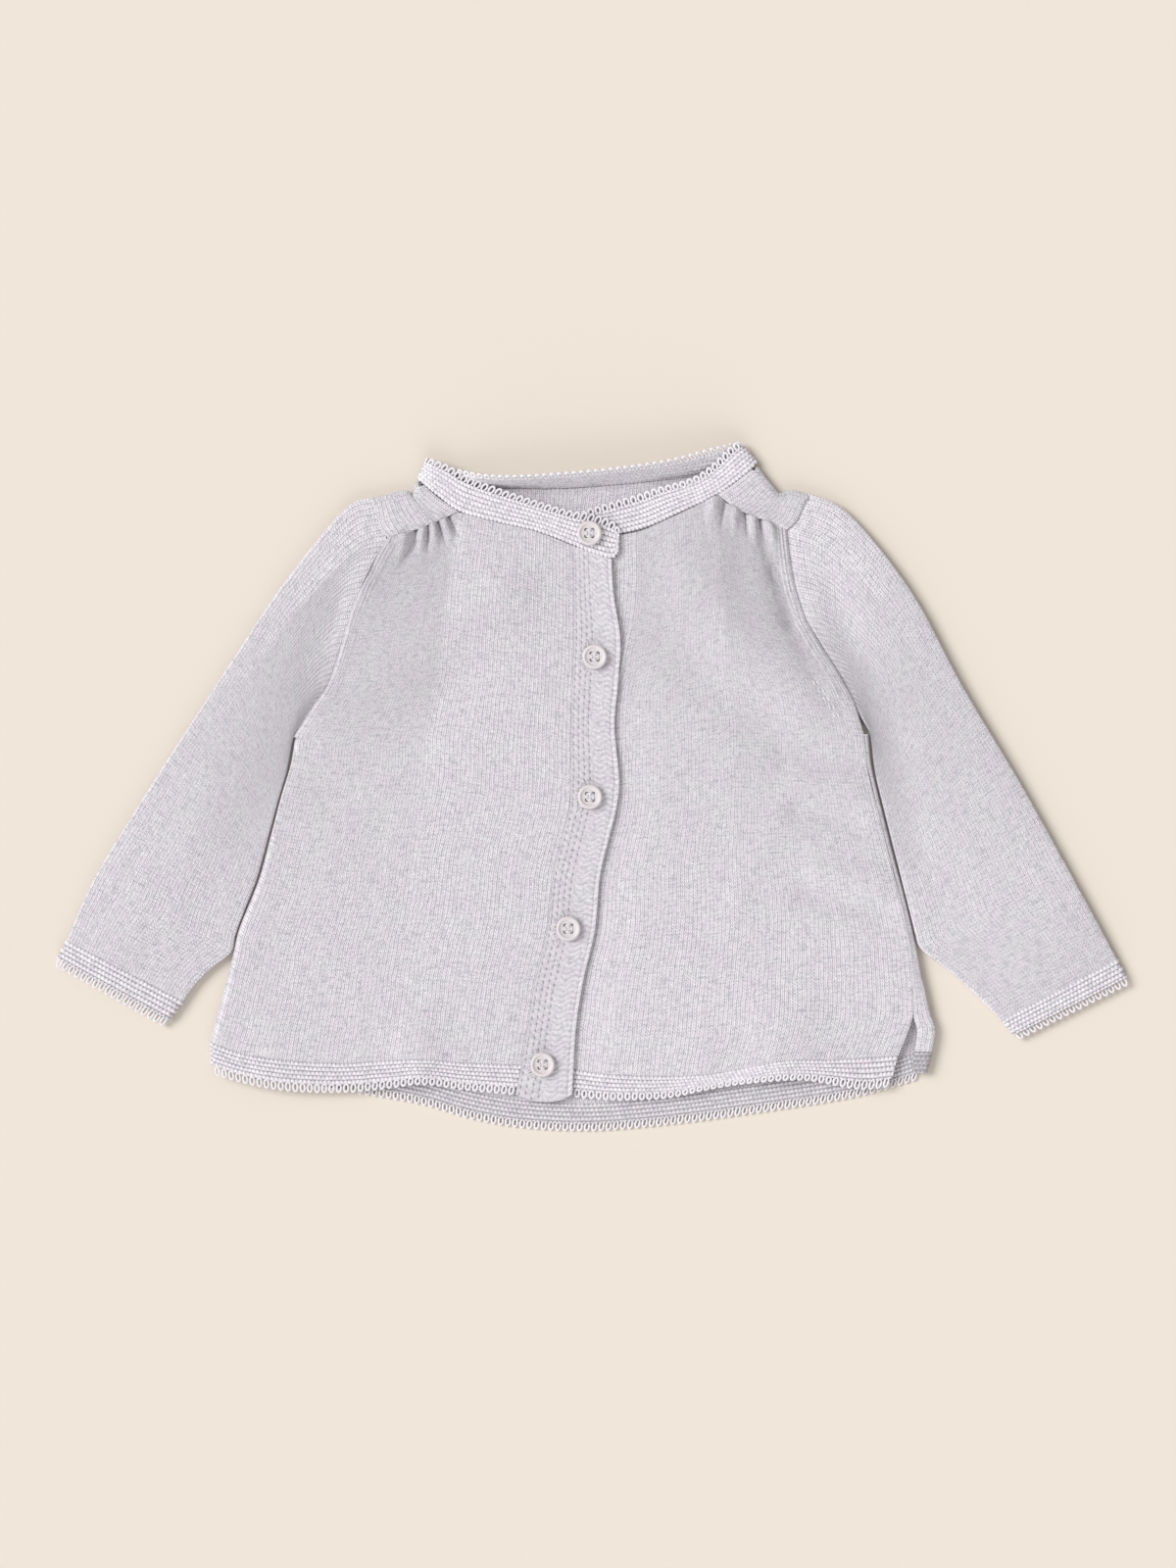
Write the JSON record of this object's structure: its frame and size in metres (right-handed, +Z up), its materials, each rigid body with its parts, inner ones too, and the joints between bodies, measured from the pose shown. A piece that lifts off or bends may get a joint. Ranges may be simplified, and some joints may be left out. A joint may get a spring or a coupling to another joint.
{
  "type": "baby cardigan",
  "caption": "Long-sleeved knitted baby cardigan with gathered fronts, garter neckband, cuffs and hem with a looped edge, buttoned down the front and laid flat.",
  "frame": {"origin": "on the surface the garment lies on, under the middle of its bounding box", "axes": "+X across the garment from cuff to cuff, to the right as seen from above; +Y from the hem towards the neck; +Z up, out of the surface"},
  "size_m": [0.4932, 0.3154, 0.0133],
  "materials": {
    "knit": "fine stockinette knit, very light grey heather",
    "band": "garter knit bands, very light grey heather",
    "button": "pale grey plastic, soft gloss"
  },
  "bodies": {
    "root": {"back": "knit", "front_left": "knit", "front_right": "knit", "sleeve_left": "knit", "sleeve_right": "knit", "hem_front_left": "band", "hem_front_right": "band", "hem_back": "band", "cuff_left": "band", "cuff_right": "band", "neckband": "band", "placket_over": "band", "placket_under": "band", "button_1": "button", "button_2": "button", "button_3": "button", "button_4": "button", "button_5": "button"}
  },
  "joints": []
}
